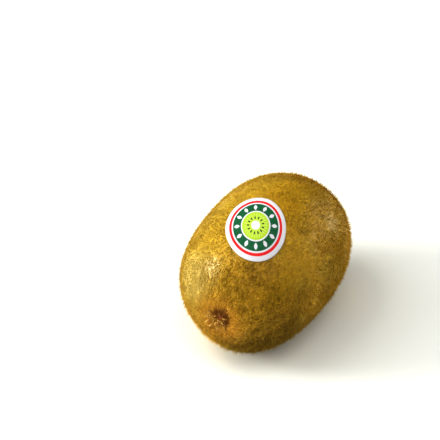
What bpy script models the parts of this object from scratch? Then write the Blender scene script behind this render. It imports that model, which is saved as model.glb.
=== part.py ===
"""A whole kiwi fruit lying on its side, with an oval paper label stuck to its upper side.

Metres, +Z up. The fruit rests on a small flat spot at z = 0 with its long axis along Y.
The blossom end, with its tuft of dried styles in a shallow hollow, points to -Y, and the
stem end, with its scar and dried sepals, points to +Y.
"""

import bmesh
import bpy
import numpy as np
from mathutils import Matrix, Vector

# Driving dimensions of the fruit.
LENGTH = 0.0686
WIDTH = 0.0494
HEIGHT = 0.0486
BLOSSOM_BLUNTNESS = 2.55  # exponent of the long profile; 2 is an ellipse
STEM_BLUNTNESS = 2.25
BLOSSOM_SLANT = (-0.17, 0.02)  # rise of the end along the length, for each metre across and up
STEM_SLANT = (-0.02, -0.085)
BLOSSOM_DRIFT = -0.0009  # the end leans sideways by this much
FLAT_DEPTH = 0.0004  # how far the resting spot is pressed in
# Gentle swells round the girth: waves round, odd along the length, height, phase in degrees.
SWELLS = (
    (3, False, 0.00014, 175.0),
    (4, False, 0.00005, 151.0),
    (2, True, 0.00033, 84.0),
    (3, True, 0.00009, 36.0),
)

# The blossom end: a hollow, a boss in its middle and a tuft of dried styles on the boss.
TUFT_CENTRE = (0.0023, 0.0005)  # across and up from the long axis
BLOSSOM_HOLLOW = (0.0038, 0.0016)  # reach and depth
BLOSSOM_BOSS = (0.0020, 0.0013)  # reach and height
STYLE_RINGS = ((1, 0.0, 0.0013), (4, 0.0011, 0.0014), (8, 0.0023, 0.0012))  # count, radius, height
STYLE_WIDTH = 0.00115
STYLE_SPLAY = 0.5  # lean outwards at the outer ring, in radians

# The stem end: a wider hollow, a round woody scar and dried sepals lying round it.
STEM_HOLLOW = (0.0052, 0.0013)
STEM_SCAR = (0.0026, 0.0012)
SCAR_PIT = (0.0009, 0.0005)
SEPAL_COUNT = 5
SEPAL_SIZE = (0.0021, 0.0036, 0.0009)  # width, length, thickness
SEPAL_RADIUS = 0.0036

# The label: its centre on the skin as angles from the blossom end and round the girth.
LABEL_PLACE = (72.2, 85.9)
LABEL_WIDTH = 0.0196
LABEL_LENGTH = 0.0269
LABEL_TURN = 28.8  # askew to the long axis, in degrees
LABEL_GAP = 0.0003
LABEL_THICKNESS = 0.00025

# Mesh fineness.
AROUND = 72
ALONG = 48
CROWDING = 0.62  # how much closer the rings lie at the two ends
LABEL_RINGS = 5
LABEL_SIDES = 40
SEED = 11


def smooth_step(value):
    """0 to 1 with level ends."""
    held = np.clip(value, 0.0, 1.0)
    return held * held * (3.0 - 2.0 * held)


def mound(distance, reach):
    """A bell of height 1 at the middle that fades out over the reach."""
    return np.exp(-((distance / reach) ** 2))


def end_relief(x, z, towards_blossom, towards_stem):
    """How far the skin stands out along the axis at each end, from the hollow and what is in it."""
    tuft = np.hypot(x - TUFT_CENTRE[0], z - TUFT_CENTRE[1])
    scar = np.hypot(x, z)
    blossom = BLOSSOM_BOSS[1] * mound(tuft, BLOSSOM_BOSS[0])
    blossom = blossom - BLOSSOM_HOLLOW[1] * mound(tuft, BLOSSOM_HOLLOW[0])
    stem = STEM_SCAR[1] * mound(scar, STEM_SCAR[0]) ** 2
    stem = stem - STEM_HOLLOW[1] * mound(scar, STEM_HOLLOW[0])
    stem = stem - SCAR_PIT[1] * mound(scar, SCAR_PIT[0])
    return stem * smooth_step(2.0 * towards_stem) - blossom * smooth_step(2.0 * towards_blossom)


def skin(polar, round_angle):
    """Points on the skin, before it is stood on its flat spot.

    polar runs from 0 at the blossom end to pi at the stem end, and round_angle turns about
    the long axis. The long profile is a superellipse whose exponent changes from one end to
    the other, each end is slanted, and a few low waves run round the girth.
    """
    cosine, sine = np.cos(polar), np.sin(polar)
    bluntness = STEM_BLUNTNESS + (BLOSSOM_BLUNTNESS - STEM_BLUNTNESS) * smooth_step((1.0 + cosine) / 2.0)
    reach = (np.abs(cosine) ** bluntness + np.abs(sine) ** bluntness) ** (-1.0 / bluntness)
    girth = sine * reach
    for waves, is_odd, height, phase in SWELLS:
        wave = height / (HEIGHT / 2.0) * np.cos(waves * round_angle - np.radians(phase)) * sine**waves
        girth = girth * (1.0 + wave * (cosine if is_odd else 1.0))
    x = WIDTH / 2.0 * girth * np.cos(round_angle)
    z = HEIGHT / 2.0 * girth * np.sin(round_angle)
    towards_blossom = np.clip(cosine, 0.0, 1.0)
    towards_stem = np.clip(-cosine, 0.0, 1.0)
    y = -LENGTH / 2.0 * cosine * reach
    y = y + towards_blossom**2 * (BLOSSOM_SLANT[0] * x + BLOSSOM_SLANT[1] * z)
    y = y + towards_stem**2 * (STEM_SLANT[0] * x + STEM_SLANT[1] * z)
    y = y + end_relief(x, z, towards_blossom, towards_stem)
    x = x + BLOSSOM_DRIFT * towards_blossom**2
    return np.stack(np.broadcast_arrays(x, y, z), axis=-1)


def skin_normal(polar, round_angle):
    """Outward unit normals of the skin, from its slopes along and round."""
    step = 1e-4
    along = skin(polar + step, round_angle) - skin(polar - step, round_angle)
    across = skin(polar, round_angle + step) - skin(polar, round_angle - step)
    normal = np.cross(along, across)
    return normal / np.linalg.norm(normal, axis=-1, keepdims=True)


def stand_offset():
    """The move that puts the flat spot at z = 0 and centres the fruit over the origin."""
    polar = np.linspace(0.0, np.pi, 361)[:, None]
    round_angle = np.linspace(0.0, 2.0 * np.pi, 361)[None, :]
    points = skin(polar, round_angle).reshape(-1, 3)
    low, high = points.min(axis=0), points.max(axis=0)
    middle = (low + high) / 2.0
    return np.array([-middle[0], -middle[1], -low[2] - FLAT_DEPTH])


def label_frame():
    """Centre angles, centre point and the two directions across and along the label."""
    polar, round_angle = np.radians(LABEL_PLACE)
    centre = skin(polar, round_angle)
    normal = skin_normal(polar, round_angle)
    forward = np.array([np.sin(np.radians(LABEL_TURN)), -np.cos(np.radians(LABEL_TURN)), 0.0])
    forward = forward - normal * (forward @ normal)
    forward = forward / np.linalg.norm(forward)
    return polar, round_angle, centre, np.cross(forward, normal), forward


def under_label(across, along):
    """Skin angles below points of the label's plan, by Newton steps from the centre."""
    polar, round_angle, centre, side, forward = label_frame()
    angles = np.stack([np.full_like(across, polar), np.full_like(across, round_angle)])
    step = 1e-5

    def plan(at):
        offset = skin(at[0], at[1]) - centre
        return np.stack([offset @ side, offset @ forward])

    wanted = np.stack([across, along])
    for _ in range(8):
        here = plan(angles)
        by_polar = (plan(angles + np.array([[step], [0.0]])) - here) / step
        by_round = (plan(angles + np.array([[0.0], [step]])) - here) / step
        miss = wanted - here
        det = by_polar[0] * by_round[1] - by_round[0] * by_polar[1]
        move_polar = (miss[0] * by_round[1] - by_round[0] * miss[1]) / det
        move_round = (by_polar[0] * miss[1] - miss[0] * by_polar[1]) / det
        angles = angles + np.stack([move_polar, move_round])
    return angles


def material(name, colour, roughness):
    made = bpy.data.materials.new(name)
    made.use_nodes = True
    shader = made.node_tree.nodes["Principled BSDF"]
    shader.inputs["Base Color"].default_value = (*colour, 1.0)
    shader.inputs["Roughness"].default_value = roughness
    return made


def new_object(name, mesh_data, collection, surface):
    made = bpy.data.objects.new(name, mesh_data)
    made.data.materials.append(surface)
    collection.objects.link(made)
    return made


def mesh_from(bm, name):
    data = bpy.data.meshes.new(name)
    bm.to_mesh(data)
    bm.free()
    return data


def vertex_array(data):
    flat = np.zeros(len(data.vertices) * 3)
    data.vertices.foreach_get("co", flat)
    return flat.reshape(-1, 3)


def set_vertices(data, points):
    data.vertices.foreach_set("co", np.ascontiguousarray(points, dtype=np.float32).ravel())
    data.update()


def build_body(collection, surface, offset):
    """A UV sphere whose points are moved onto the skin, with its resting spot cut flat."""
    bm = bmesh.new()
    bmesh.ops.create_uvsphere(bm, u_segments=AROUND, v_segments=ALONG, radius=1.0)
    data = mesh_from(bm, "fruit")
    ball = vertex_array(data)
    share = np.arccos(np.clip(ball[:, 2], -1.0, 1.0)) / np.pi
    polar = np.pi * (share - CROWDING * np.sin(2.0 * np.pi * share) / (2.0 * np.pi))
    set_vertices(data, skin(polar, np.arctan2(ball[:, 1], ball[:, 0])) + offset)
    bm = bmesh.new()
    bm.from_mesh(data)
    everything = bm.verts[:] + bm.edges[:] + bm.faces[:]
    bmesh.ops.bisect_plane(bm, geom=everything, plane_co=(0, 0, 0), plane_no=(0, 0, -1), clear_outer=True)
    rim = [edge for edge in bm.edges if edge.is_boundary]
    bmesh.ops.contextual_create(bm, geom=rim)
    bmesh.ops.recalc_face_normals(bm, faces=bm.faces[:])
    bm.to_mesh(data)
    bm.free()
    data.shade_smooth()
    data.set_sharp_from_angle(angle=np.radians(40.0))
    return new_object("fruit", data, collection, surface)


def knob(name, size, place, axis, facing, collection, surface):
    """A small rounded piece of a width, length and thickness.

    Its length runs along the axis and its thin way points to where it faces.
    """
    bm = bmesh.new()
    bmesh.ops.create_uvsphere(bm, u_segments=8, v_segments=6, radius=0.5)
    bmesh.ops.scale(bm, vec=(size[0], size[2], size[1]), verts=bm.verts[:])
    along = Vector(axis).normalized()
    across = Vector(facing).cross(along).normalized()
    turn = Matrix((across, along.cross(across), along)).transposed().to_4x4()
    bmesh.ops.transform(bm, matrix=Matrix.Translation(Vector(place)) @ turn, verts=bm.verts[:])
    return new_object(name, mesh_from(bm, name), collection, surface)


def end_point(x, z, pole):
    """The point of the skin nearest to this place across and up, at the end where polar is pole."""
    polar = np.abs(pole - np.linspace(1e-4, 0.6, 400))[:, None]
    round_angle = np.linspace(0.0, 2.0 * np.pi, 241)[None, :]
    points = skin(polar, round_angle).reshape(-1, 3)
    return points[np.argmin(np.hypot(points[:, 0] - x, points[:, 2] - z))]


def build_styles(collection, surface, offset):
    """The tuft: one dried style in the middle and rings of them leaning outwards round it."""
    random = np.random.default_rng(SEED)
    for count, radius, height in STYLE_RINGS:
        for number in range(count):
            angle = 2.0 * np.pi * (number + random.uniform(-0.25, 0.25)) / count
            from_middle = radius * random.uniform(0.85, 1.15)
            x = TUFT_CENTRE[0] + from_middle * np.cos(angle)
            z = TUFT_CENTRE[1] + from_middle * np.sin(angle)
            lean = STYLE_SPLAY * radius / STYLE_RINGS[-1][1] * random.uniform(0.7, 1.5)
            axis = (np.sin(lean) * np.cos(angle), -np.cos(lean), np.sin(lean) * np.sin(angle))
            width = STYLE_WIDTH * random.uniform(0.8, 1.2)
            long_size = 2.0 * height * random.uniform(0.8, 1.2)
            place = end_point(x, z, 0.0) + offset
            size = (width, long_size, width)
            knob(f"style_{count}_{number}", size, place, axis, (0.0, 0.0, 1.0), collection, surface)


def build_sepals(collection, surface, offset):
    """Dried sepals lying round the scar, each raised a little at its outer tip."""
    random = np.random.default_rng(SEED + 1)
    for number in range(SEPAL_COUNT):
        angle = 2.0 * np.pi * (number + random.uniform(-0.18, 0.18)) / SEPAL_COUNT
        outwards = np.array([np.cos(angle), 0.0, np.sin(angle)])
        place = end_point(SEPAL_RADIUS * outwards[0], SEPAL_RADIUS * outwards[2], np.pi) + offset
        axis = outwards + np.array([0.0, random.uniform(0.05, 0.35), 0.0])
        facing = np.array([0.0, 1.0, 0.0]) + random.uniform(-0.2, 0.2, 3)
        size = [part * random.uniform(0.85, 1.15) for part in SEPAL_SIZE]
        knob(f"sepal_{number}", size, place, axis, facing, collection, surface)


def join_growths(fruit, growths):
    """One Boolean union of the styles and sepals with the body; their collection is then removed."""
    union = fruit.modifiers.new("growths", "BOOLEAN")
    union.operation = "UNION"
    union.operand_type = "COLLECTION"
    union.collection = growths
    union.solver = "EXACT"
    graph = bpy.context.evaluated_depsgraph_get()
    joined = bpy.data.meshes.new_from_object(fruit.evaluated_get(graph))
    fruit.modifiers.clear()
    fruit.data = joined
    for piece in list(growths.objects):
        bpy.data.objects.remove(piece)
    bpy.data.collections.remove(growths)


def build_label(collection, surface, offset):
    """A round disc spun from a radius, laid over the skin and given its thickness."""
    bm = bmesh.new()
    radius_points = [bm.verts.new((ring / LABEL_RINGS, 0.0, 0.0)) for ring in range(LABEL_RINGS + 1)]
    radius_edges = [bm.edges.new(pair) for pair in zip(radius_points[:-1], radius_points[1:])]
    bmesh.ops.spin(
        bm,
        geom=radius_points + radius_edges,
        cent=(0, 0, 0),
        axis=(0, 0, 1),
        angle=2.0 * np.pi,
        steps=LABEL_SIDES,
        use_duplicate=False,
    )
    bmesh.ops.remove_doubles(bm, verts=bm.verts[:], dist=1e-5)
    data = mesh_from(bm, "label")
    disc = vertex_array(data)
    angles = under_label(disc[:, 0] * LABEL_WIDTH / 2.0, disc[:, 1] * LABEL_LENGTH / 2.0)
    lifted = skin(angles[0], angles[1]) + skin_normal(angles[0], angles[1]) * LABEL_GAP
    set_vertices(data, lifted + offset)
    bm = bmesh.new()
    bm.from_mesh(data)
    bmesh.ops.recalc_face_normals(bm, faces=bm.faces[:])
    middle = sum((face.normal for face in bm.faces), Vector())
    if middle.z < 0:
        bmesh.ops.reverse_faces(bm, faces=bm.faces[:])
    bm.to_mesh(data)
    bm.free()
    label = new_object("label", data, collection, surface)
    thickness = label.modifiers.new("thickness", "SOLIDIFY")
    thickness.thickness = LABEL_THICKNESS
    thickness.offset = 1.0
    data.shade_smooth()
    return label


def main():
    for old in list(bpy.data.objects):
        bpy.data.objects.remove(old)
    parts = bpy.data.collections.new("kiwi_fruit")
    growths = bpy.data.collections.new("growths")
    for collection in (parts, growths):
        bpy.context.scene.collection.children.link(collection)
    skin_surface = material("fuzzy_skin", (0.36, 0.22, 0.045), 0.75)
    paper = material("label_paper", (0.86, 0.87, 0.84), 0.35)
    offset = stand_offset()
    fruit = build_body(parts, skin_surface, offset)
    build_styles(growths, skin_surface, offset)
    build_sepals(growths, skin_surface, offset)
    join_growths(fruit, growths)
    build_label(parts, paper, offset)


main()
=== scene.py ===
import math

import bpy
import numpy as np
from mathutils import Matrix, Vector


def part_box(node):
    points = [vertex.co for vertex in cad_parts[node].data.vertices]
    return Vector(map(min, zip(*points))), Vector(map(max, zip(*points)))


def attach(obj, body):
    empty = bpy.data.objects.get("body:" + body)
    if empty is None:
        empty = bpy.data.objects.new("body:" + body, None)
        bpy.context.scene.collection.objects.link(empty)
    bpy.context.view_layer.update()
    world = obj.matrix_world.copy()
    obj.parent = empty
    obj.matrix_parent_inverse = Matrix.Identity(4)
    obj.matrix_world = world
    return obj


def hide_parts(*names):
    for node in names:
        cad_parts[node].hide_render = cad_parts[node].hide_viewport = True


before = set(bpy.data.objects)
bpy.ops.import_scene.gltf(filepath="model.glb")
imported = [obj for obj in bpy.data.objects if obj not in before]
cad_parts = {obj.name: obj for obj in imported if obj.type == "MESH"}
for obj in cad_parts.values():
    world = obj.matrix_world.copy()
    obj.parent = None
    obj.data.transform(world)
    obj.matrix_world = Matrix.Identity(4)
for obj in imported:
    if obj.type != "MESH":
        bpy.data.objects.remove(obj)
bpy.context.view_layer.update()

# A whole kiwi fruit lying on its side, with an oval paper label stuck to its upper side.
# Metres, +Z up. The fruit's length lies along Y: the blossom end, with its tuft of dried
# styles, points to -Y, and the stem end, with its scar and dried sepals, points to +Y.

# The fruit's form, in the same named sizes as its solid. A slant is how far an end leans along Y
# for each metre of X and Z.
LENGTH = 0.0686
WIDTH = 0.0494
HEIGHT = 0.0486
BLOSSOM_BLUNTNESS = 2.55
STEM_BLUNTNESS = 2.25
BLOSSOM_SLANT = (-0.17, 0.02)
STEM_SLANT = (-0.02, -0.085)
BLOSSOM_DRIFT = -0.0009
FLAT_DEPTH = 0.0004

# Low waves round the girth: how many, whether they turn over from one end to the other, their
# height, and their phase in degrees.
SWELLS = (
    (3, False, 0.00014, 175.0),
    (4, False, 0.00005, 151.0),
    (2, True, 0.00033, 84.0),
    (3, True, 0.00009, 36.0),
)

# The ends: the tuft's place off the long axis in X and Z, then the reach of each hollow or rise
# and how deep or high it is.
TUFT_CENTRE = (0.0023, 0.0005)
BLOSSOM_HOLLOW = (0.0038, 0.0016)
BLOSSOM_BOSS = (0.0020, 0.0013)
STEM_HOLLOW = (0.0052, 0.0013)
STEM_SCAR = (0.0026, 0.0012)
SCAR_PIT = (0.0009, 0.0005)

# The label. Its place is the polar and the round angle of its middle, and its turn is in degrees.
LABEL_PLACE = (72.2, 85.9)
LABEL_WIDTH = 0.0196
LABEL_LENGTH = 0.0269
LABEL_TURN = 28.8
LABEL_GAP = 0.0003
PAPER_THICKNESS = 0.0001
EDGE_LIFT = 0.00011
PAPER_WAVES = 0.00002

# The skin's mesh and its low relief: size of the lumps and how far they stand out.
SKIN_RINGS = 320
SKIN_SIDES = 296
END_CROWDING = 0.35
SKIN_LUMPS = ((0.0075, 0.00010), (0.0026, 0.00008), (0.0014, 0.00006))
SKIN_SEED = 20

# The camera, which looks at the fruit from above its blossom end.
CAMERA_AZIMUTH = 28.8
CAMERA_ELEVATION = 42.0
CAMERA_DISTANCE = 0.7
IMAGE_SIZE = 440
PIXELS_PER_METRE = 2957.0
FRUIT_CENTRE_PIXEL = (267.1, 258.7)
SENSOR_WIDTH = 36.0


# Form of the fruit


def smooth_step(value):
    """0 to 1 with level ends: 3 v^2 - 2 v^3."""
    held = np.clip(value, 0.0, 1.0)
    return held * held * (3.0 - 2.0 * held)


def mound(distance, reach):
    """A bell of height 1 at the middle that fades out over the reach."""
    return np.exp(-((distance / reach) ** 2))


def end_relief(x, z, towards_blossom, towards_stem):
    """How far the skin stands out along Y at each end: a hollow with a boss or scar in its middle."""
    tuft = np.hypot(x - TUFT_CENTRE[0], z - TUFT_CENTRE[1])
    scar = np.hypot(x, z)
    blossom = BLOSSOM_BOSS[1] * mound(tuft, BLOSSOM_BOSS[0])
    blossom = blossom - BLOSSOM_HOLLOW[1] * mound(tuft, BLOSSOM_HOLLOW[0])
    stem = STEM_SCAR[1] * mound(scar, STEM_SCAR[0]) ** 2
    stem = stem - STEM_HOLLOW[1] * mound(scar, STEM_HOLLOW[0])
    stem = stem - SCAR_PIT[1] * mound(scar, SCAR_PIT[0])
    return stem * smooth_step(2.0 * towards_stem) - blossom * smooth_step(2.0 * towards_blossom)


def unplaced_skin(polar, round_angle):
    """Points of the skin about the long axis.

    polar runs from 0 at the blossom end to pi at the stem end. The long profile is the
    superellipse |cos|^n + |sin|^n = 1 / r^n, with n changing from one end to the other.
    Each end is slanted, and a few low cosine waves run round the girth.
    """
    cosine, sine = np.cos(polar), np.sin(polar)
    bluntness = STEM_BLUNTNESS + (BLOSSOM_BLUNTNESS - STEM_BLUNTNESS) * smooth_step((1.0 + cosine) / 2.0)
    reach = (np.abs(cosine) ** bluntness + np.abs(sine) ** bluntness) ** (-1.0 / bluntness)
    girth = sine * reach
    for waves, is_odd, height, phase in SWELLS:
        wave = height / (HEIGHT / 2.0) * np.cos(waves * round_angle - np.radians(phase)) * sine**waves
        girth = girth * (1.0 + wave * (cosine if is_odd else 1.0))
    x = WIDTH / 2.0 * girth * np.cos(round_angle)
    z = HEIGHT / 2.0 * girth * np.sin(round_angle)
    towards_blossom = np.clip(cosine, 0.0, 1.0)
    towards_stem = np.clip(-cosine, 0.0, 1.0)
    y = -LENGTH / 2.0 * cosine * reach
    y = y + towards_blossom**2 * (BLOSSOM_SLANT[0] * x + BLOSSOM_SLANT[1] * z)
    y = y + towards_stem**2 * (STEM_SLANT[0] * x + STEM_SLANT[1] * z)
    y = y + end_relief(x, z, towards_blossom, towards_stem)
    x = x + BLOSSOM_DRIFT * towards_blossom**2
    return np.stack(np.broadcast_arrays(x, y, z), axis=-1)


def place_of_fruit():
    """The move that brings the worked-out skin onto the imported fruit, by their boxes."""
    polar = np.linspace(0.0, np.pi, 361)[:, None]
    round_angle = np.linspace(0.0, 2.0 * np.pi, 361)[None, :]
    points = unplaced_skin(polar, round_angle).reshape(-1, 3)
    low, high = points.min(axis=0), points.max(axis=0)
    box_low, box_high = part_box("fruit")
    across = (box_low.x + box_high.x - low[0] - high[0]) / 2.0
    return np.array([across, box_high.y - high[1], box_low.z - low[2] - FLAT_DEPTH])


PLACE = place_of_fruit()


def unit(vectors):
    """The vectors at length 1."""
    return vectors / np.linalg.norm(vectors, axis=-1, keepdims=True)


def skin(polar, round_angle):
    """Points of the skin where the fruit lies."""
    return unplaced_skin(polar, round_angle) + PLACE


def skin_frame(polar, round_angle):
    """Unit vectors along the skin to the stem end, round it, and out of it, from its slopes."""
    step = 1e-4
    along = unit(skin(polar + step, round_angle) - skin(polar - step, round_angle))
    around = unit(skin(polar, round_angle + step) - skin(polar, round_angle - step))
    outwards = unit(np.cross(along, around))
    return along, np.cross(outwards, along), outwards


def lumps(points, size, seed):
    """Smooth random relief from -1 to 1: random values on a lattice, blended by smooth steps."""
    cells = 48
    shift_to_positive = 1000.0
    values = np.random.default_rng(seed).uniform(-1.0, 1.0, (cells, cells, cells))
    at = points / size + shift_to_positive
    corner = np.floor(at).astype(int)
    share = smooth_step(at - corner)
    total = 0.0
    for dx in (0, 1):
        for dy in (0, 1):
            for dz in (0, 1):
                step = np.array([dx, dy, dz])
                weight = np.prod(np.where(step, share, 1.0 - share), axis=-1)
                index = (corner + step) % cells
                total = total + weight * values[index[..., 0], index[..., 1], index[..., 2]]
    return total


# Mesh making


def mesh_piece(name, points, corners, sizes, finish, slot):
    """A smooth mesh from whole arrays: points, the point of every face corner, and corners per face."""
    data = bpy.data.meshes.new(name)
    data.vertices.add(len(points))
    data.vertices.foreach_set("co", points.astype(np.float32).ravel())
    data.loops.add(len(corners))
    data.loops.foreach_set("vertex_index", corners.astype(np.int32))
    data.polygons.add(len(sizes))
    starts = np.concatenate([[0], np.cumsum(sizes)[:-1]])
    data.polygons.foreach_set("loop_start", starts.astype(np.int32))
    data.update(calc_edges=True)
    data.validate()
    data.shade_smooth()
    data.materials.append(finish)
    made = bpy.data.objects.new(name, data)
    bpy.context.scene.collection.objects.link(made)
    if slot:
        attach(made, "root")
    return made


def closed_rings(name, rings, finish, slot):
    """A closed surface from rings of points, whose first and last rings are single points (poles)."""
    rows, sides = rings.shape[:2]
    points = np.concatenate([rings[0, :1], rings[1:-1].reshape(-1, 3), rings[-1, :1]])
    side = np.arange(sides)
    after = (side + 1) % sides
    low = 1 + np.arange(rows - 3)[:, None] * sides
    quads = np.stack([low + side, low + after, low + sides + after, low + sides + side], axis=-1)
    first = np.stack([np.zeros_like(side), 1 + after, 1 + side], axis=-1)
    last_ring = 1 + (rows - 3) * sides
    last = np.stack([last_ring + side, last_ring + after, np.full_like(side, last_ring + sides)], axis=-1)
    corners = np.concatenate([first.ravel(), quads.ravel(), last.ravel()])
    sizes = np.concatenate([np.full(sides, 3), np.full(quads.size // 4, 4), np.full(sides, 3)])
    return mesh_piece(name, points, corners, sizes, finish, slot)


def point_values(piece, name, values):
    """Keeps one number for each point of the piece, for its finish to read."""
    attribute = piece.data.attributes.new(name, "FLOAT", "POINT")
    attribute.data.foreach_set("value", np.asarray(values, dtype=np.float32).ravel())


# Where a strand lies on its unit square of the chart: its sides above, and its root's cap below.
SIDES_START, SIDES_SPAN = 0.15, 0.8
CAP_MIDDLE, CAP_HALF = (0.5, 0.07), (0.4, 0.06)
CELL_MARGIN = 0.08


def strand_pattern(rows, sides):
    """One strand's faces as point numbers, with every face corner's place on a unit square."""
    faces, places = [], []
    for row in range(rows - 1):
        for side in range(sides):
            after = (side + 1) % sides
            low, high = row * sides, (row + 1) * sides
            left, right = side / sides, (side + 1) / sides
            bottom = SIDES_START + SIDES_SPAN * row / (rows - 1)
            top = SIDES_START + SIDES_SPAN * (row + 1) / (rows - 1)
            if row < rows - 2:
                faces.append((low + side, low + after, high + after, high + side))
                places.append(((left, bottom), (right, bottom), (right, top), (left, top)))
            else:
                faces.append((low + side, low + after, high))
                places.append(((left, bottom), (right, bottom), ((left + right) / 2, top)))
    faces.append(tuple(range(sides - 1, -1, -1)))
    turn = np.linspace(0.0, 2.0 * np.pi, sides, endpoint=False)
    across = CAP_MIDDLE[0] + CAP_HALF[0] * np.cos(turn)
    up = CAP_MIDDLE[1] - CAP_HALF[1] * np.sin(turn)
    places.append(tuple(zip(across, up)))
    return faces, places


def strands(name, root, out, lean, length, width, finish, profile, sides=3, bend=0.0, flatness=1.0):
    """Many tapered strands with closed ends, joined in one mesh.

    A strand's middle line is root + length * (s * out + bend * s^2 * (lean - out) / 2) for
    s from 0 to 1. Round it the half width is width / 2 times the profile, and flatness
    times that in the plane of the bend. No point lies lower than just above the floor.
    """
    lowest = 2e-5
    count, rows = len(root), len(profile)
    share = np.linspace(0.0, 1.0, rows)[None, :, None]
    out, lean = out[:, None, :], lean[:, None, :]
    reach = np.asarray(length)[:, None, None]
    middle = root[:, None, :] + reach * (share * out + bend * share**2 * (lean - out) / 2.0)
    forward = unit(out + bend * share * (lean - out))
    beside = unit(np.cross(out, lean)) + np.zeros_like(forward)
    above = np.cross(forward, beside)
    turn = np.linspace(0.0, 2.0 * np.pi, sides, endpoint=False)
    half = (np.asarray(width)[:, None] / 2.0 * np.asarray(profile)[None, :])[..., None, None]
    ring = beside[:, :, None, :] * np.cos(turn)[:, None]
    ring = ring + flatness * above[:, :, None, :] * np.sin(turn)[:, None]
    points = middle[:, :, None, :] + half * ring
    tips = points[:, -1, 0, :]
    points = np.concatenate([points[:, :-1].reshape(count, -1, 3), tips[:, None, :]], axis=1)
    points[..., 2] = np.maximum(points[..., 2], lowest)
    faces, places = strand_pattern(rows, sides)
    pattern = np.concatenate([np.array(face) for face in faces])
    each = points.shape[1]
    corners = (pattern[None, :] + each * np.arange(count)[:, None]).ravel()
    sizes = np.tile([len(face) for face in faces], count)
    piece = mesh_piece(name, points.reshape(-1, 3), corners, sizes, finish, "skin")
    heights = np.repeat(np.append(np.repeat(share.ravel()[:-1], sides), 1.0)[None, :], count, axis=0)
    point_values(piece, "height", heights)
    columns = math.ceil(math.sqrt(count))
    cell = np.stack([np.arange(count) % columns, np.arange(count) // columns], axis=-1)
    spot = np.concatenate([np.array(place) for place in places])
    layout = cell[:, None, :] + CELL_MARGIN + (1.0 - 2.0 * CELL_MARGIN) * spot[None, :, :]
    chart = piece.data.uv_layers.new(name="OFBake")
    chart.uv.foreach_set("vector", (layout / columns).astype(np.float32).ravel())
    return piece, each


# Finishes


class Wire:
    """An output in a finish's node tree. Arithmetic on it adds Math nodes."""

    def __init__(self, finish, socket):
        self.finish = finish
        self.socket = socket

    def maths(self, operation, *values):
        """The outcome of one operation on the values."""
        return self.finish.node("ShaderNodeMath", values, operation=operation)

    def __add__(self, other):
        return self.maths("ADD", self, other)

    __radd__ = __add__

    def __mul__(self, other):
        return self.maths("MULTIPLY", self, other)

    def __sub__(self, other):
        return self.maths("SUBTRACT", self, other)

    def __rsub__(self, other):
        return self.maths("SUBTRACT", other, self)

    def __pow__(self, other):
        return self.maths("POWER", self, other)

    def between(self, low, high):
        """0 below low and 1 above high, with a smooth way between; turned round if high is the less."""
        values = (self, low, high, 0.0, 1.0)
        inputs = dict(zip(("Value", "From Min", "From Max", "To Min", "To Max"), values))
        return self.finish.node("ShaderNodeMapRange", inputs, interpolation_type="SMOOTHSTEP")


class Finish:
    """A material in the making: its nodes and the shader that they feed."""

    def __init__(self, name, **constants):
        self.material = bpy.data.materials.new(name)
        self.material.use_nodes = True
        self.tree = self.material.node_tree
        self.shader = self.tree.nodes["Principled BSDF"]
        for socket, value in constants.items():
            self.shader.inputs[socket.replace("_", " ")].default_value = value
        self.place = self.node("ShaderNodeTexCoord", output="Object")

    def node(self, kind, inputs=(), output=0, **settings):
        """Adds a node: its settings first, then its inputs by number or name. Returns an output."""
        made = self.tree.nodes.new(kind)
        for setting, value in settings.items():
            setattr(made, setting, value)
        named = inputs.items() if isinstance(inputs, dict) else enumerate(inputs)
        for key, value in named:
            self.set(made.inputs[key], value)
        return Wire(self, made.outputs[output])

    def set(self, socket, value):
        """Links an output to the socket, or sets a number or colour on it."""
        if isinstance(value, Wire):
            self.tree.links.new(value.socket, socket)
        elif isinstance(value, tuple) and len(socket.default_value) == 4:
            socket.default_value = (*value, 1.0)
        else:
            socket.default_value = value

    def feed(self, **wires):
        """Links outputs to the shader's sockets."""
        for socket, value in wires.items():
            self.set(self.shader.inputs[socket.replace("_", " ")], value)

    def mix(self, share, first, second):
        """A colour between two, by the share of the second. The node's colours are inputs 6 and 7."""
        inputs = {"Factor": share, 6: first, 7: second}
        return self.node("ShaderNodeMix", inputs, output=2, data_type="RGBA")

    def noise(self, size, detail=2.0, roughness=0.5, place=None):
        """Cloudy noise from 0 to 1 whose lumps are about as large as the size."""
        inputs = {
            "Vector": place or self.place,
            "Scale": 1.0 / size,
            "Detail": detail,
            "Roughness": roughness,
        }
        return self.node("ShaderNodeTexNoise", inputs)

    def specks(self, size):
        """The distance to the nearest of many scattered points, in parts of their spacing."""
        return self.node("ShaderNodeTexVoronoi", {"Vector": self.place, "Scale": 1.0 / size})

    def distance_from(self, point):
        """How far the surface is from a point of the object."""
        return self.node("ShaderNodeVectorMath", (self.place, point), output="Value", operation="DISTANCE")

    def region(self, x=None, y=None, z=None):
        """1 inside a region and 0 outside it, from where it starts and where it is full on each axis."""
        axes = self.node("ShaderNodeSeparateXYZ", (self.place,)).socket.node.outputs
        share = 1.0
        for axis, ends in (("X", x), ("Y", y), ("Z", z)):
            if ends:
                share = Wire(self, axes[axis]).between(*ends) * share
        return share

    def value(self, name):
        """A number that the piece keeps for each of its points."""
        return self.node("ShaderNodeAttribute", output="Fac", attribute_name=name)

    def bump(self, height, depth, strength=1.0):
        """Fine relief: a change of 1 in the height stands for this depth in metres."""
        return self.node("ShaderNodeBump", {"Height": height, "Distance": depth, "Strength": strength})


def moved(point, across, up):
    """The point moved along X and Z, as plain numbers."""
    return float(point[0] + across), float(point[1]), float(point[2] + up)


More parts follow.
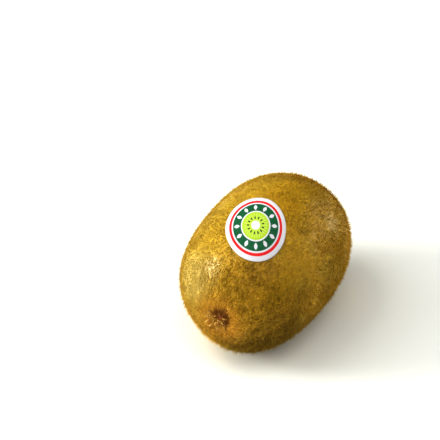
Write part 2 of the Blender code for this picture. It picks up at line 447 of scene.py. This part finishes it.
# Places on the skin that its colours depend on: the shaded point centres painted shade and the pale point
# a painted sheen. The worn spots, where the hair is thinned and the skin takes a painted highlight, have a
# radius too.
BLOSSOM_TIP = skin(np.array(0.0), np.array(0.0))
TUFT_POINT = moved(BLOSSOM_TIP, *TUFT_CENTRE)
SHADED_POINT = moved(TUFT_POINT, 0.0006, 0.0019)
STEM_POINT = moved(skin(np.array(np.pi), np.array(0.0)), 0.0, 0.0)
PALE_SHEEN_POINT = (-0.0118, -0.0288, 0.0335)
WORN_HIGHLIGHT_SPOTS = (((-0.0052, -0.0271, 0.0400), 0.0036), ((0.0190, 0.0125, 0.0384), 0.0032))

# Regions of the skin: from where each one starts to where it is full, on the axes that bound it. They
# carry painted light and shade: a sheen on the -X side, shade on the belly and chin, and light on two
# edges.
SHEEN_SIDE = {"x": (0.006, -0.016)}
BELLY = {"y": (-0.024, -0.010), "z": (0.022, 0.006)}
LEFT_EDGE = {"x": (0.005, -0.005), "y": (-0.010, -0.022), "z": (0.027, 0.016)}
RIGHT_EDGE = {"x": (0.010, 0.016), "y": (0.008, 0.018), "z": (0.035, 0.027)}
CHIN = {"x": (-0.003, 0.006), "y": (-0.010, -0.022), "z": (0.030, 0.012)}

# Fine detail is stretched along the fruit by this much less scale on Y.
COMBED = (1.0, 0.55, 1.0)

# Colours of the skin. The sheens, the lit skin, the belly, chin and hollow shades and the waxy highlight
# are painted light and shade.
GOLDEN_SKIN = (0.58, 0.360, 0.022)
OLIVE_SKIN = (0.48, 0.330, 0.024)
RUSSET_SKIN = (0.74, 0.410, 0.060)
HOLLOW_SHADE = (0.21, 0.062, 0.009)
SHEEN_SIDE_SKIN = (0.57, 0.410, 0.062)
PALE_SHEEN_SKIN = (0.63, 0.500, 0.170)
WAXY_HIGHLIGHT = (0.80, 0.680, 0.380)
BELLY_SHADE = (0.30, 0.190, 0.024)
LIT_SKIN = (0.90, 0.620, 0.130)
CHIN_SHADE = (0.24, 0.175, 0.045)
CORKY_SCAR = (0.30, 0.165, 0.045)
BROWN_BLOTCH = (0.34, 0.19, 0.010)
BROWN_FLECK = (0.28, 0.16, 0.010)
GOLDEN_FLECK = (0.80, 0.52, 0.035)
DARK_PORE = (0.13, 0.055, 0.006)
HAIR_ROOT = (0.28, 0.13, 0.012)


def tinted_by_place(finish, colour):
    """The colour, with painted light and shade: yellower on the -X side and on a pale patch as a painted
    sheen, browner below and on the chin as painted shade, lighter on two edges as painted light, russet at
    the ends, and dark in their hollows as painted shade.

    Each tint in turn is laid over those before it: where it lies, its share at most, and
    its colour. The rings round the ends wander in and out by a soft noise.
    """
    wander = (finish.noise(0.0016, detail=3.0) - 0.5) * 0.003
    to_pale_sheen = finish.distance_from(PALE_SHEEN_POINT)
    to_tuft = finish.distance_from(TUFT_POINT) + wander
    to_stem = finish.distance_from(STEM_POINT) + wander
    to_shade = finish.distance_from(SHADED_POINT) + wander
    tints = (
        # Painted sheen: yellower over the -X side.
        (finish.region(**SHEEN_SIDE), 0.70, SHEEN_SIDE_SKIN),
        # Painted sheen: a pale patch on the -X side near the blossom end.
        (to_pale_sheen.between(0.0130, 0.0035), 0.60, PALE_SHEEN_SKIN),
        # Painted shade: browner below.
        (finish.region(**BELLY), 0.55, BELLY_SHADE),
        (to_tuft.between(0.0125, 0.0040), 0.75, RUSSET_SKIN),
        (to_stem.between(0.0110, 0.0040), 0.75, RUSSET_SKIN),
        (finish.region(**LEFT_EDGE), 0.50, LIT_SKIN),
        (finish.region(**RIGHT_EDGE), 0.60, LIT_SKIN),
        # Painted shade: darker on the chin, low near the blossom end.
        (finish.region(**CHIN), 0.46, CHIN_SHADE),
        # Painted shade: dark on the tuft's shaded side and in the stem's hollow.
        (to_shade.between(0.0048, 0.0026), 0.90, HOLLOW_SHADE),
        (to_stem.between(0.0058, 0.0036), 0.80, HOLLOW_SHADE),
    )
    for place, most, tint in tints:
        colour = finish.mix(place * most, colour, tint)
    return colour


def skin_finish():
    """Waxy brown skin: golden and olive clouds, darker pores, and a fine leathery grain."""
    finish = Finish("kiwi_skin", Specular_IOR_Level=0.33)
    combed = finish.node("ShaderNodeVectorMath", (finish.place, COMBED), operation="MULTIPLY")
    clouds = finish.noise(0.011, detail=3.0)
    blotches = finish.noise(0.0030, detail=2.0)
    flecks = finish.noise(0.0010, detail=2.0, roughness=0.6, place=combed)
    grain = finish.noise(0.0006, detail=3.0, roughness=0.65)
    pores = finish.specks(0.0013)
    colour = finish.mix(clouds.between(0.35, 0.65), GOLDEN_SKIN, OLIVE_SKIN)
    colour = finish.mix(blotches.between(0.45, 0.70) * 0.18, colour, BROWN_BLOTCH)
    colour = finish.mix(flecks.between(0.50, 0.66) * 0.25, colour, BROWN_FLECK)
    colour = finish.mix(flecks.between(0.44, 0.32) * 0.6, colour, GOLDEN_FLECK)
    colour = finish.mix(pores.between(0.26, 0.12) * 0.12, colour, DARK_PORE)
    worn_highlight = 0.0
    for spot, radius in WORN_HIGHLIGHT_SPOTS:
        worn_highlight = finish.distance_from(spot).between(1.5 * radius, 0.2 * radius) + worn_highlight
    colour = tinted_by_place(finish, colour)
    # Painted highlight: paler on the worn spots, where the highlights fall.
    colour = finish.mix(worn_highlight * 0.3, colour, WAXY_HIGHLIGHT)
    scar = finish.distance_from(STEM_POINT).between(0.0030, 0.0020)
    colour = finish.mix(scar * grain.between(0.3, 0.6), colour, CORKY_SCAR)
    relief = grain * 0.4 + pores.between(0.1, 0.5) * 0.4 - flecks
    finish.feed(
        Base_Color=colour,
        Roughness=0.27 + grain * 0.16 - worn_highlight * 0.04,
        Normal=finish.bump(relief, 0.00016, 0.5),
    )
    return finish.material


def fuzz_finish(name, dark, pale):
    """Short stiff hairs: each of its own tone from dark to pale, darker at the root."""
    finish = Finish(name, Specular_IOR_Level=0.12, Specular_Tint=(1.0, 0.90, 0.68, 1.0), Roughness=0.42)
    colour = finish.mix(finish.value("tone"), dark, pale)
    # The same painted light and shade by place as the skin.
    colour = tinted_by_place(finish, colour)
    colour = finish.mix(finish.value("height").between(0.5, 0.0) * 0.3, colour, HAIR_ROOT)
    finish.feed(Base_Color=colour)
    return finish.material


def dried_finish(name, dark, pale):
    """Dried brown plant matter: streaked, dull and rough."""
    finish = Finish(name, Specular_IOR_Level=0.3, Roughness=0.75)
    streaks = finish.noise(0.0007, detail=4.0, roughness=0.7)
    colour = finish.mix(finish.value("tone"), dark, pale)
    colour = finish.mix(streaks.between(0.42, 0.68) * 0.7, colour, dark)
    # Painted shade: darker towards the root, in the hollow's shade.
    colour = finish.mix(finish.value("height").between(0.4, 0.0) * 0.5, colour, HOLLOW_SHADE)
    finish.feed(Base_Color=colour, Normal=finish.bump(streaks, 0.00012))
    return finish.material


# Fruit

# The hairs: how deep they are rooted, the lowest root, how far from an end's middle they start,
# and how far along Y the longer ones reach from each end. Towards -X they lie flatter, from
# where the sleek side starts and over its span.
ROOT_DEPTH = 0.00015
LOWEST_ROOT = 0.0004
BARE_AT_TUFT, BARE_AT_STEM = 0.0024, 0.0034
LONG_AT_BLOSSOM, LONG_AT_STEM = 0.014, 0.006
SLEEK_START, SLEEK_SPAN = 0.006, 0.022

# Random fields that all the coats share, by the size of their lumps and their seed.
CLUMPS = (0.0017, 65)
MOTTLING = (0.0007, 63)
TONE_CLOUDS = (0.006, 64)

# The coats of hair. Lift is the angle off the skin, in radians.
SHORT_HAIR = {"lengths": (0.0006, 0.0011), "widths": (0.00005, 0.00008), "lift": (0.2, 0.65)}
LONG_HAIR = {"lengths": (0.0009, 0.0018), "widths": (0.00009, 0.00014), "lift": (0.3, 1.1)}
STUCK_HAIR = {"lengths": (0.0008, 0.0013), "widths": (0.00016, 0.00026), "lift": (0.4, 1.1)}
STRAY_HAIR = {"lengths": (0.0011, 0.0020), "widths": (0.00012, 0.00017), "lift": (0.9, 1.5)}
STRAIGHT = {"profile": (1.0, 0.0), "bend": 0.0}
CURVED = {"profile": (1.0, 0.8, 0.0), "bend": 0.8}
SLIGHTLY_CURVED = {"profile": (1.0, 0.8, 0.0), "bend": 0.3}

# Colours of the hairs and the dried parts, each from its darkest to its palest.
PALE_DOWN = ((0.50, 0.295, 0.018), (0.88, 0.60, 0.09))
BROWN_DOWN = ((0.36, 0.205, 0.012), (0.68, 0.42, 0.025))
GOLDEN_BRISTLES = ((0.48, 0.285, 0.016), (0.92, 0.64, 0.08))
RUSSET_BRISTLES = ((0.30, 0.170, 0.010), (0.62, 0.380, 0.02))
STUCK_BRISTLES = ((0.32, 0.180, 0.012), (0.96, 0.70, 0.14))
STOUT_STYLES = ((0.38, 0.220, 0.045), (0.84, 0.56, 0.18))
THIN_STYLES = ((0.20, 0.09, 0.010), (0.50, 0.30, 0.04))
SEPALS = ((0.12, 0.05, 0.014), (0.34, 0.20, 0.075))


def fruit_skin():
    """The skin: the fruit's form on a fine grid, raised along its normals by lumps of three sizes.

    The rings crowd towards the ends: polar is pi * s - crowding / 2 * sin(2 pi s) for s
    from 0 to 1.
    """
    share = np.linspace(0.0, 1.0, SKIN_RINGS)[:, None]
    polar = np.pi * (share - END_CROWDING * np.sin(2.0 * np.pi * share) / (2.0 * np.pi))
    round_angle = np.linspace(0.0, -2.0 * np.pi, SKIN_SIDES, endpoint=False)[None, :]
    points = skin(polar, round_angle)
    inside = np.clip(polar, 1e-3, np.pi - 1e-3)
    outwards = skin_frame(inside, round_angle)[2]
    sizes = enumerate(SKIN_LUMPS, start=SKIN_SEED)
    relief = sum(depth * lumps(points, size, seed) for seed, (size, depth) in sizes)
    points = points + outwards * relief[..., None]
    points[[0, -1]] = points[[0, -1]].mean(axis=1, keepdims=True)
    points[..., 2] = np.maximum(points[..., 2], 0.0)
    piece = closed_rings("fruit_skin", points, skin_finish(), "skin")
    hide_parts("fruit")


def sunflower(count, seed):
    """An even spread over the fruit: equal areas along it, a golden angle round it, some jitter."""
    random = np.random.default_rng(seed)
    pole_margin, most_jitter = 0.004, 3.0
    polar = np.linspace(1e-3, np.pi - 1e-3, 720)
    points = unplaced_skin(polar[:, None], np.linspace(0.0, 2.0 * np.pi, 37)[None, :])
    step = np.linalg.norm(np.diff(points, axis=0), axis=-1).mean(axis=1)
    middle = (points[1:] + points[:-1]) / 2.0
    girth = np.linalg.norm(np.diff(middle, axis=1), axis=-1).sum(axis=1)
    area = np.concatenate([[0.0], np.cumsum(step * girth)])
    spacing = math.sqrt(area[-1] / count)
    at = np.interp((np.arange(count) + 0.5) / count, area / area[-1], polar)
    at = at + random.uniform(-0.5, 0.5, count) * spacing / (LENGTH / 2.0)
    at = np.clip(at, pole_margin, np.pi - pole_margin)
    golden_angle = math.pi * (3.0 - math.sqrt(5.0))
    jitter = random.uniform(-0.5, 0.5, count) * spacing / (WIDTH / 2.0 * np.sin(at))
    return at, np.arange(count) * golden_angle + np.clip(jitter, -most_jitter, most_jitter), random


def label_frame():
    """Centre angles, centre point and the directions across, along and out of the label."""
    polar, round_angle = np.radians(LABEL_PLACE)
    centre = skin(polar, round_angle)
    outwards = skin_frame(polar, round_angle)[2]
    turn = math.radians(LABEL_TURN)
    forward = np.array([math.sin(turn), -math.cos(turn), 0.0])
    forward = unit(forward - outwards * (forward @ outwards))
    return polar, round_angle, centre, np.cross(forward, outwards), forward, outwards


def label_reach(points):
    """How far out on the label's oval the points lie: 1 at its edge, and large on the far side."""
    near_side, far_off = -0.01, 9.0
    _, _, centre, side, forward, outwards = label_frame()
    offset = points - centre
    reach = np.hypot(offset @ side / (LABEL_WIDTH / 2.0), offset @ forward / (LABEL_LENGTH / 2.0))
    return np.where(offset @ outwards > near_side, reach, far_off)


def fuzz(name, count, seed, finish, lengths, widths, lift, profile, bend, sparse=1.0):
    """Hairs over the skin, combed to the blossom end in slow swirls, with none under the label.

    A hair sets off at a rising angle from the skin and its heading is turned from the
    comb by a smooth random field and by its own draw. The hairs are longer towards the
    ends and in clumps, and thinned out on the worn spots. Away from the ends only the
    sparse share of them grows.
    """
    polar, round_angle, random = sunflower(count, seed)
    root = skin(polar, round_angle)
    along, around, outwards = skin_frame(polar, round_angle)
    swirl = 0.5 * lumps(root, 0.012, seed + 1) + 0.4 * lumps(root, 0.0024, seed + 2)
    heading = swirl + random.normal(0.0, 0.35, count)
    clump = lumps(root, *CLUMPS)
    comb = -along * np.cos(heading)[:, None] + around * np.sin(heading)[:, None]
    sleek = smooth_step((SLEEK_START - root[:, 0]) / SLEEK_SPAN)
    rise = random.uniform(*lift, count) * (1.0 + 0.12 * clump) * (1.0 - 0.35 * sleek)
    out = comb * np.cos(rise)[:, None] + outwards * np.sin(rise)[:, None]
    at_end = mound(root[:, 1] - BLOSSOM_TIP[1], LONG_AT_BLOSSOM)
    at_end = at_end + mound(root[:, 1] - STEM_POINT[1], LONG_AT_STEM)
    length = random.uniform(*lengths, count) * (1.0 + 0.35 * at_end + 0.15 * clump)
    width = random.uniform(*widths, count) * (1.0 + 0.2 * at_end)
    tip = root + out * length[:, None]
    kept = (label_reach(root) > 0.985) & (label_reach(tip) > 1.0) & (root[:, 2] > LOWEST_ROOT)
    kept &= np.linalg.norm(root - TUFT_POINT, axis=1) > BARE_AT_TUFT
    kept &= np.linalg.norm(root - STEM_POINT, axis=1) > BARE_AT_STEM
    contrast = 0.40 * (1.0 - 0.6 * sleek) + 0.75 * at_end
    tone = 0.5 + contrast * lumps(root * COMBED, *MOTTLING) + 0.08 * lumps(root, *TONE_CLOUDS)
    tone = np.clip(tone + random.normal(0.0, 0.16, count), 0.0, 1.0)
    kept &= random.uniform(0.0, 1.0, count) < sparse + at_end
    for spot, radius in WORN_HIGHLIGHT_SPOTS:
        worn_highlight = mound(np.linalg.norm(root - spot, axis=1), radius)
        kept &= random.uniform(0.0, 1.0, count) > 0.5 * worn_highlight
    root = root - outwards * ROOT_DEPTH
    lean = unit(comb + 0.1 * outwards)
    piece, each = strands(
        name, root[kept], out[kept], lean[kept], length[kept], width[kept], finish, profile, bend=bend
    )
    point_values(piece, "tone", np.repeat(tone[kept], each))


def coats():
    """The coats of hair: down, the longer bristles above it, clumps stuck together, and strays."""
    golden = fuzz_finish("golden_bristles", *GOLDEN_BRISTLES)
    russet = fuzz_finish("russet_bristles", *RUSSET_BRISTLES)
    fuzz("pale_down", 49500, 101, fuzz_finish("pale_down", *PALE_DOWN), **SHORT_HAIR, **STRAIGHT)
    fuzz("brown_down", 49500, 111, fuzz_finish("brown_down", *BROWN_DOWN), **SHORT_HAIR, **STRAIGHT)
    fuzz("golden_bristles", 19900, 121, golden, **LONG_HAIR, **CURVED)
    fuzz("russet_bristles", 19900, 131, russet, **LONG_HAIR, **CURVED)
    stuck = fuzz_finish("stuck_bristles", *STUCK_BRISTLES)
    fuzz("stuck_bristles", 15000, 141, stuck, **STUCK_HAIR, **CURVED, sparse=0.3)
    fuzz("pale_strays", 5200, 151, golden, **STRAY_HAIR, **SLIGHTLY_CURVED)
    fuzz("brown_strays", 5200, 161, russet, **STRAY_HAIR, **SLIGHTLY_CURVED)


def end_strands(name, place, pole, radius, length, width, splay, seed, finish, **form):
    """Dried strands on rings round an end's middle, leaning outwards by the splay.

    Each strand is turned about a golden angle on from the one before, and is rooted at the
    point of a fine grid over the end that lies nearest to its place in X and Z.
    """
    turn_each, turn_jitter, root_depth = 2.39996, 0.4, 0.0004
    random = np.random.default_rng(seed)
    count = len(radius)
    angle = np.arange(count) * turn_each + random.uniform(-turn_jitter, turn_jitter, count)
    polar = np.abs(pole - np.linspace(1e-4, 0.6, 400))[:, None]
    points = skin(polar, np.linspace(0.0, 2.0 * np.pi, 241)[None, :]).reshape(-1, 3)
    wanted = np.stack([place[0] + radius * np.cos(angle), place[2] + radius * np.sin(angle)], axis=-1)
    gap = np.linalg.norm(points[None, :, ::2] - wanted[:, None, :], axis=-1)
    root = points[np.argmin(gap, axis=1)]
    axis = np.array([0.0, math.copysign(1.0, place[1]), 0.0])
    away = np.stack([np.cos(angle), np.zeros(count), np.sin(angle)], axis=-1)
    lean = splay * radius / radius.max() * random.uniform(0.6, 1.4, count)
    out = unit(axis * np.cos(lean)[:, None] + away * np.sin(lean)[:, None])
    bent = unit(away + 0.25 * random.normal(0.0, 1.0, (count, 3)) + 0.2 * axis)
    root = root - root_depth * axis
    piece, each = strands(name, root, out, bent, length, width, finish, **form)
    point_values(piece, "tone", np.repeat(random.uniform(0.0, 1.0, count), each))


def spread(count, radius):
    """How far from the middle each strand of a disc stands, so that they cover it evenly."""
    return radius * np.sqrt((np.arange(count) + 0.3) / count)


def tuft():
    """The dried styles at the blossom end: stout stubs low in the tuft, among thin broken ones."""
    random = np.random.default_rng(5)
    stout, thin = 38, 64
    end_strands(
        "stout_styles", moved(TUFT_POINT, -0.0017, -0.0011), 0.0,
        radius=spread(stout, 0.0029),
        length=random.uniform(0.0016, 0.0028, stout),
        width=random.uniform(0.0005, 0.0010, stout),
        splay=1.0, seed=6, finish=dried_finish("dried_styles", *STOUT_STYLES),
        profile=(1.0, 0.8, 1.0, 0.75, 0.95, 0.6, 0.8, 0.0), sides=8, bend=0.8, flatness=0.55,
    )
    end_strands(
        "thin_styles", TUFT_POINT, 0.0,
        radius=spread(thin, 0.0034),
        length=random.uniform(0.0012, 0.0030, thin),
        width=random.uniform(0.00022, 0.00042, thin),
        splay=1.1, seed=7, finish=dried_finish("thin_dried_styles", *THIN_STYLES),
        profile=(1.0, 0.9, 0.9, 0.8, 0.55, 0.0), sides=6, bend=0.9,
    )


def stem_end():
    """The dried sepals round the scar of the stalk, thin and curled outwards."""
    random = np.random.default_rng(8)
    count = 13
    end_strands(
        "sepals", STEM_POINT, np.pi,
        radius=random.uniform(0.0025, 0.0033, count),
        length=random.uniform(0.0028, 0.0044, count),
        width=random.uniform(0.0016, 0.0025, count),
        splay=1.25, seed=9, finish=dried_finish("dried_sepals", *SEPALS),
        profile=(0.7, 0.95, 1.0, 0.9, 0.65, 0.35, 0.0), sides=10, bend=1.1, flatness=0.16,
    )


# Label

WHITE_INK = (0.62, 0.615, 0.64)
GREEN_INK = (0.004, 0.115, 0.042)
RED_INK = (0.66, 0.012, 0.016)
LIME_INK = (0.40, 0.56, 0.035)
SEED_INK = (0.010, 0.035, 0.014)
RAY_INK = (0.72, 0.80, 0.30)
CORE_INK = (0.83, 0.86, 0.66)
GREY_FIBRE = (0.62, 0.62, 0.55)

# The printed design: from where to where each part of it reaches, as shares of the way from the
# middle to the edge. A pair that runs down fades outwards.
RED_RING = (0.795, 0.87)
GREEN_RING = (0.49, 0.745)
LEAF_RING = (0.52, 0.71)
LEAF_MIDDLE = 0.615
FLESH_EDGE = 0.445
RAYS_IN, RAYS_OUT = (0.12, 0.20), (0.42, 0.36)
SEED_RING = (0.205, 0.285)
CORE_EDGE = (0.165, 0.125)
LEAVES, RAYS, SEEDS = 12, 26, 13
SOFT_EDGE = 0.006


def under_label(across, along):
    """Skin angles under points of the label's plan, by Newton steps from its centre."""
    polar, round_angle, centre, side, forward, _ = label_frame()
    angles = np.stack([np.full_like(across, polar), np.full_like(across, round_angle)])
    step = 1e-5

    def plan(at):
        offset = skin(at[0], at[1]) - centre
        return np.stack([offset @ side, offset @ forward])

    for _ in range(8):
        here = plan(angles)
        by_polar = (plan(angles + np.array([step, 0.0])[:, None, None]) - here) / step
        by_round = (plan(angles + np.array([0.0, step])[:, None, None]) - here) / step
        miss = np.stack([across, along]) - here
        area = by_polar[0] * by_round[1] - by_round[0] * by_polar[1]
        move_polar = (miss[0] * by_round[1] - by_round[0] * miss[1]) / area
        move_round = (by_polar[0] * miss[1] - miss[0] * by_polar[1]) / area
        angles = angles + np.stack([move_polar, move_round])
    return angles


def label_finish():
    """Printed paper: rings of ink on white round a cut fruit, drawn by distance and angle on its plan."""
    finish = Finish("printed_label", Specular_IOR_Level=0.15)
    plan = finish.node("ShaderNodeUVMap", uv_map="plan")
    centred = finish.node("ShaderNodeVectorMath", (plan, (0.5, 0.5, 0.0)), operation="SUBTRACT")
    parts = finish.node("ShaderNodeSeparateXYZ", (centred,))
    x = parts * 2.0
    y = Wire(finish, parts.socket.node.outputs["Y"]) * 2.0
    out = (x * x + y * y) ** 0.5
    angle = x.maths("ARCTAN2", y, x)

    def within(edge):
        """1 inside the edge and 0 outside it."""
        return out.between(edge + SOFT_EDGE, edge - SOFT_EDGE)

    def ring(low, high):
        """1 between two edges."""
        return out.between(low - SOFT_EDGE, low + SOFT_EDGE) * within(high)

    def petals(count, shift=0.0):
        """1 on the middle line of each of so many sectors and -1 between them."""
        turn = angle * count + shift
        return turn.maths("COSINE", turn)

    colour = finish.mix(ring(*RED_RING), WHITE_INK, RED_INK)
    colour = finish.mix(ring(*GREEN_RING), colour, GREEN_INK)
    bulge = 1.0 - ((out - LEAF_MIDDLE) * 10.0) ** 2.0
    leaf = (petals(LEAVES) - 1.0 + bulge * bulge * 0.6).between(-0.03, 0.03) * ring(*LEAF_RING)
    colour = finish.mix(leaf, colour, WHITE_INK)
    colour = finish.mix(within(FLESH_EDGE), colour, LIME_INK)
    rays = petals(RAYS).between(-0.2, 1.0) * out.between(*RAYS_IN) * out.between(*RAYS_OUT)
    colour = finish.mix(rays * 0.45, colour, RAY_INK)
    seeds = petals(SEEDS, 0.6).between(0.5, 0.62) * ring(*SEED_RING)
    colour = finish.mix(seeds, colour, SEED_INK)
    colour = finish.mix(out.between(*CORE_EDGE), colour, CORE_INK)
    fibre = finish.noise(0.0005, detail=3.0)
    colour = finish.mix(fibre.between(0.3, 0.8) * 0.06, colour, GREY_FIBRE)
    finish.feed(Base_Color=colour, Roughness=0.45 + fibre * 0.14, Normal=finish.bump(fibre, 0.00002, 0.5))
    return finish.material


def label():
    """A thin oval of paper that follows the skin, its edge lifted here and there by the hairs below.

    It is one closed surface: rings run from the middle of its underside out to its edge
    and back over the top, and each point stands off the skin by the gap, the lift of
    the edge and, on the top, the paper's thickness.
    """
    sides, rings = 180, 44
    share = np.concatenate([np.linspace(0.0, 1.0, rings), np.linspace(1.0, 0.0, rings)])[:, None]
    on_top = (np.arange(2 * rings) >= rings)[:, None]
    angle = np.linspace(0.0, 2.0 * np.pi, sides, endpoint=False)[None, :]
    across, along = share * np.cos(angle), share * np.sin(angle)
    angles = under_label(across * LABEL_WIDTH / 2.0, along * LABEL_LENGTH / 2.0)
    base = skin(angles[0], angles[1])
    outwards = skin_frame(angles[0], angles[1])[2]
    ripple = 0.5 + 0.3 * np.sin(5.0 * angle + 0.4) + 0.2 * np.sin(9.0 * angle + 2.0)
    lift = LABEL_GAP + EDGE_LIFT * share**8 * ripple + PAPER_WAVES * lumps(base, 0.003, 31)
    points = base + outwards * (lift + on_top * PAPER_THICKNESS)[..., None]
    piece = closed_rings("paper_label", points, label_finish(), "label_paper")
    plan = np.stack([across, along], axis=-1) / 2.0 + 0.5
    plan = np.concatenate([plan[0, :1], plan[1:-1].reshape(-1, 2), plan[-1, :1]])
    corners = np.empty(len(piece.data.loops), dtype=np.int32)
    piece.data.loops.foreach_get("vertex_index", corners)
    chart = piece.data.uv_layers.new(name="plan")
    chart.uv.foreach_set("vector", plan[corners].astype(np.float32).ravel())
    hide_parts("label")


# Studio

FLOOR_COLOUR = (0.835, 0.845, 0.80, 1.0)
FLOOR_HALF, FLOOR_SQUARES = 4.0, 40

# The backdrop, by the distance from the middle: its inner and outer edge, where it fades in, and
# where it starts to climb and over what span. Then its level part's height and how far it climbs.
BACKDROP_RADII = (0.5, 3.0)
BACKDROP_FADE = (0.5, 1.0)
CLIMB_START, CLIMB_SPAN = 1.5, 1.5
BACKDROP_LOW, BACKDROP_HEIGHT = 0.001, 1.2

# The lamps: azimuth from +X to +Y and elevation in degrees, side of the square, and power.
LAMP_DISTANCE = 0.8
LAMPS = {
    "main_lamp": (-150.0, 20.0, 0.28, 6.4),
    "high_lamp": (-155.0, 52.0, 0.60, 4.1),
    "front_lamp": (-130.0, 9.0, 0.50, 2.2),
    "near_lamp": (-85.0, 48.0, 0.60, 1.4),
    "rim_lamp": (62.0, 14.0, 0.50, 3.3),
    "side_lamp": (26.0, 14.0, 0.60, 0.6),
    "right_lamp": (0.0, 58.0, 0.60, 1.9),
    "top_lamp": (0.0, 89.0, 0.70, 1.7),
}
SKY_STRENGTH = 0.06
DISPLAY_GAMMA = 0.74


def stage_grid(name, points, finish, closed):
    """A stage piece from a grid of points, joined up across the last column where it is closed."""
    rows, columns = points.shape[:2]
    column = np.arange(columns if closed else columns - 1)[None, :]
    after = (column + 1) % columns
    low = np.arange(rows - 1)[:, None] * columns
    quads = np.stack([low + column, low + columns + column, low + columns + after, low + after], axis=-1)
    sizes = np.full(quads.size // 4, 4)
    piece = mesh_piece(name, points.reshape(-1, 3), quads.ravel(), sizes, finish.material, None)
    return piece


def floor():
    """A pale level floor."""
    finish = Finish("pale_floor", Specular_IOR_Level=0.1, Roughness=0.8, Base_Color=FLOOR_COLOUR)
    line = np.linspace(-FLOOR_HALF, FLOOR_HALF, FLOOR_SQUARES + 1)
    across, back = np.meshgrid(line, line, indexing="ij")
    stage_grid("floor", np.stack([across, back, np.zeros_like(across)], axis=-1), finish, closed=False)


def backdrop():
    """A pale sheet all round, which starts half a metre out and hides the floor's unlit far part.

    Its height is a smooth step of the distance from the fruit, so it lies level and then
    curves up into a wall. It fades in with the distance. Only the camera sees it, so it
    adds no light.
    """
    finish = Finish(
        "pale_backdrop", Base_Color=(0.0, 0.0, 0.0, 1.0), Specular_IOR_Level=0.0,
        Emission_Color=(1.0, 1.0, 0.98, 1.0), Emission_Strength=0.95,
    )
    finish.feed(Alpha=finish.distance_from((0.0, 0.0, 0.0)).between(*BACKDROP_FADE))
    rings, sides = 26, 96
    radius = np.linspace(*BACKDROP_RADII, rings)[:, None]
    angle = np.linspace(0.0, 2.0 * np.pi, sides, endpoint=False)[None, :]
    height = BACKDROP_LOW + BACKDROP_HEIGHT * smooth_step((radius - CLIMB_START) / CLIMB_SPAN)
    points = np.broadcast_arrays(radius * np.cos(angle), radius * np.sin(angle), height)
    piece = stage_grid("backdrop", np.stack(points, axis=-1), finish, closed=True)
    piece.visible_diffuse = False
    piece.visible_glossy = False
    piece.visible_transmission = False
    piece.visible_shadow = False


def camera_axes():
    """The camera's right, up and back directions before it is turned aside."""
    turn, rise = math.radians(CAMERA_AZIMUTH), math.radians(CAMERA_ELEVATION)
    right = Vector((math.cos(turn), math.sin(turn), 0.0))
    back = Vector((math.sin(turn) * math.cos(rise), -math.cos(turn) * math.cos(rise), math.sin(rise)))
    return right, back.cross(right), back


def camera():
    """A long lens above the blossom end, aimed a little aside so that the fruit stands where it should."""
    right, up, back = camera_axes()
    centre = Vector(PLACE)
    eye = centre + back * CAMERA_DISTANCE
    aside = (IMAGE_SIZE / 2.0 - FRUIT_CENTRE_PIXEL[0]) / PIXELS_PER_METRE
    above = (FRUIT_CENTRE_PIXEL[1] - IMAGE_SIZE / 2.0) / PIXELS_PER_METRE
    away = (eye - (centre + right * aside + up * above)).normalized()
    level = up.cross(away).normalized()
    data = bpy.data.cameras.new("camera")
    data.sensor_width = SENSOR_WIDTH
    data.lens = PIXELS_PER_METRE * CAMERA_DISTANCE / IMAGE_SIZE * SENSOR_WIDTH
    data.clip_start = 0.01
    made = bpy.data.objects.new("camera", data)
    turned = Matrix((level, away.cross(level), away)).transposed()
    made.matrix_world = Matrix.Translation(eye) @ turned.to_4x4()
    bpy.context.scene.collection.objects.link(made)
    bpy.context.scene.camera = made


def lamp(name, azimuth, elevation, size, power):
    """A square soft lamp that shines on the fruit from an azimuth and elevation."""
    data = bpy.data.lights.new(name, "AREA")
    data.size = size
    data.energy = power
    made = bpy.data.objects.new(name, data)
    turn, rise = math.radians(azimuth), math.radians(elevation)
    way = Vector((math.cos(turn) * math.cos(rise), math.sin(turn) * math.cos(rise), math.sin(rise)))
    made.location = Vector(PLACE) + way * LAMP_DISTANCE
    made.rotation_euler = way.to_track_quat("Z", "Y").to_euler()
    bpy.context.scene.collection.objects.link(made)


def studio():
    """The lamps, strongest from the left, a faint white sky, and how the picture is shown."""
    for name, setting in LAMPS.items():
        lamp(name, *setting)
    world = bpy.data.worlds.new("studio")
    world.use_nodes = True
    world.node_tree.nodes["Background"].inputs["Color"].default_value = (1.0, 1.0, 1.0, 1.0)
    world.node_tree.nodes["Background"].inputs["Strength"].default_value = SKY_STRENGTH
    bpy.context.scene.world = world
    view = bpy.context.scene.view_settings
    view.view_transform = "Standard"
    view.gamma = DISPLAY_GAMMA


def main():
    """The whole scene: the studio, then the fruit and its label."""
    camera()
    studio()
    floor()
    backdrop()
    fruit_skin()
    coats()
    tuft()
    stem_end()
    label()


main()
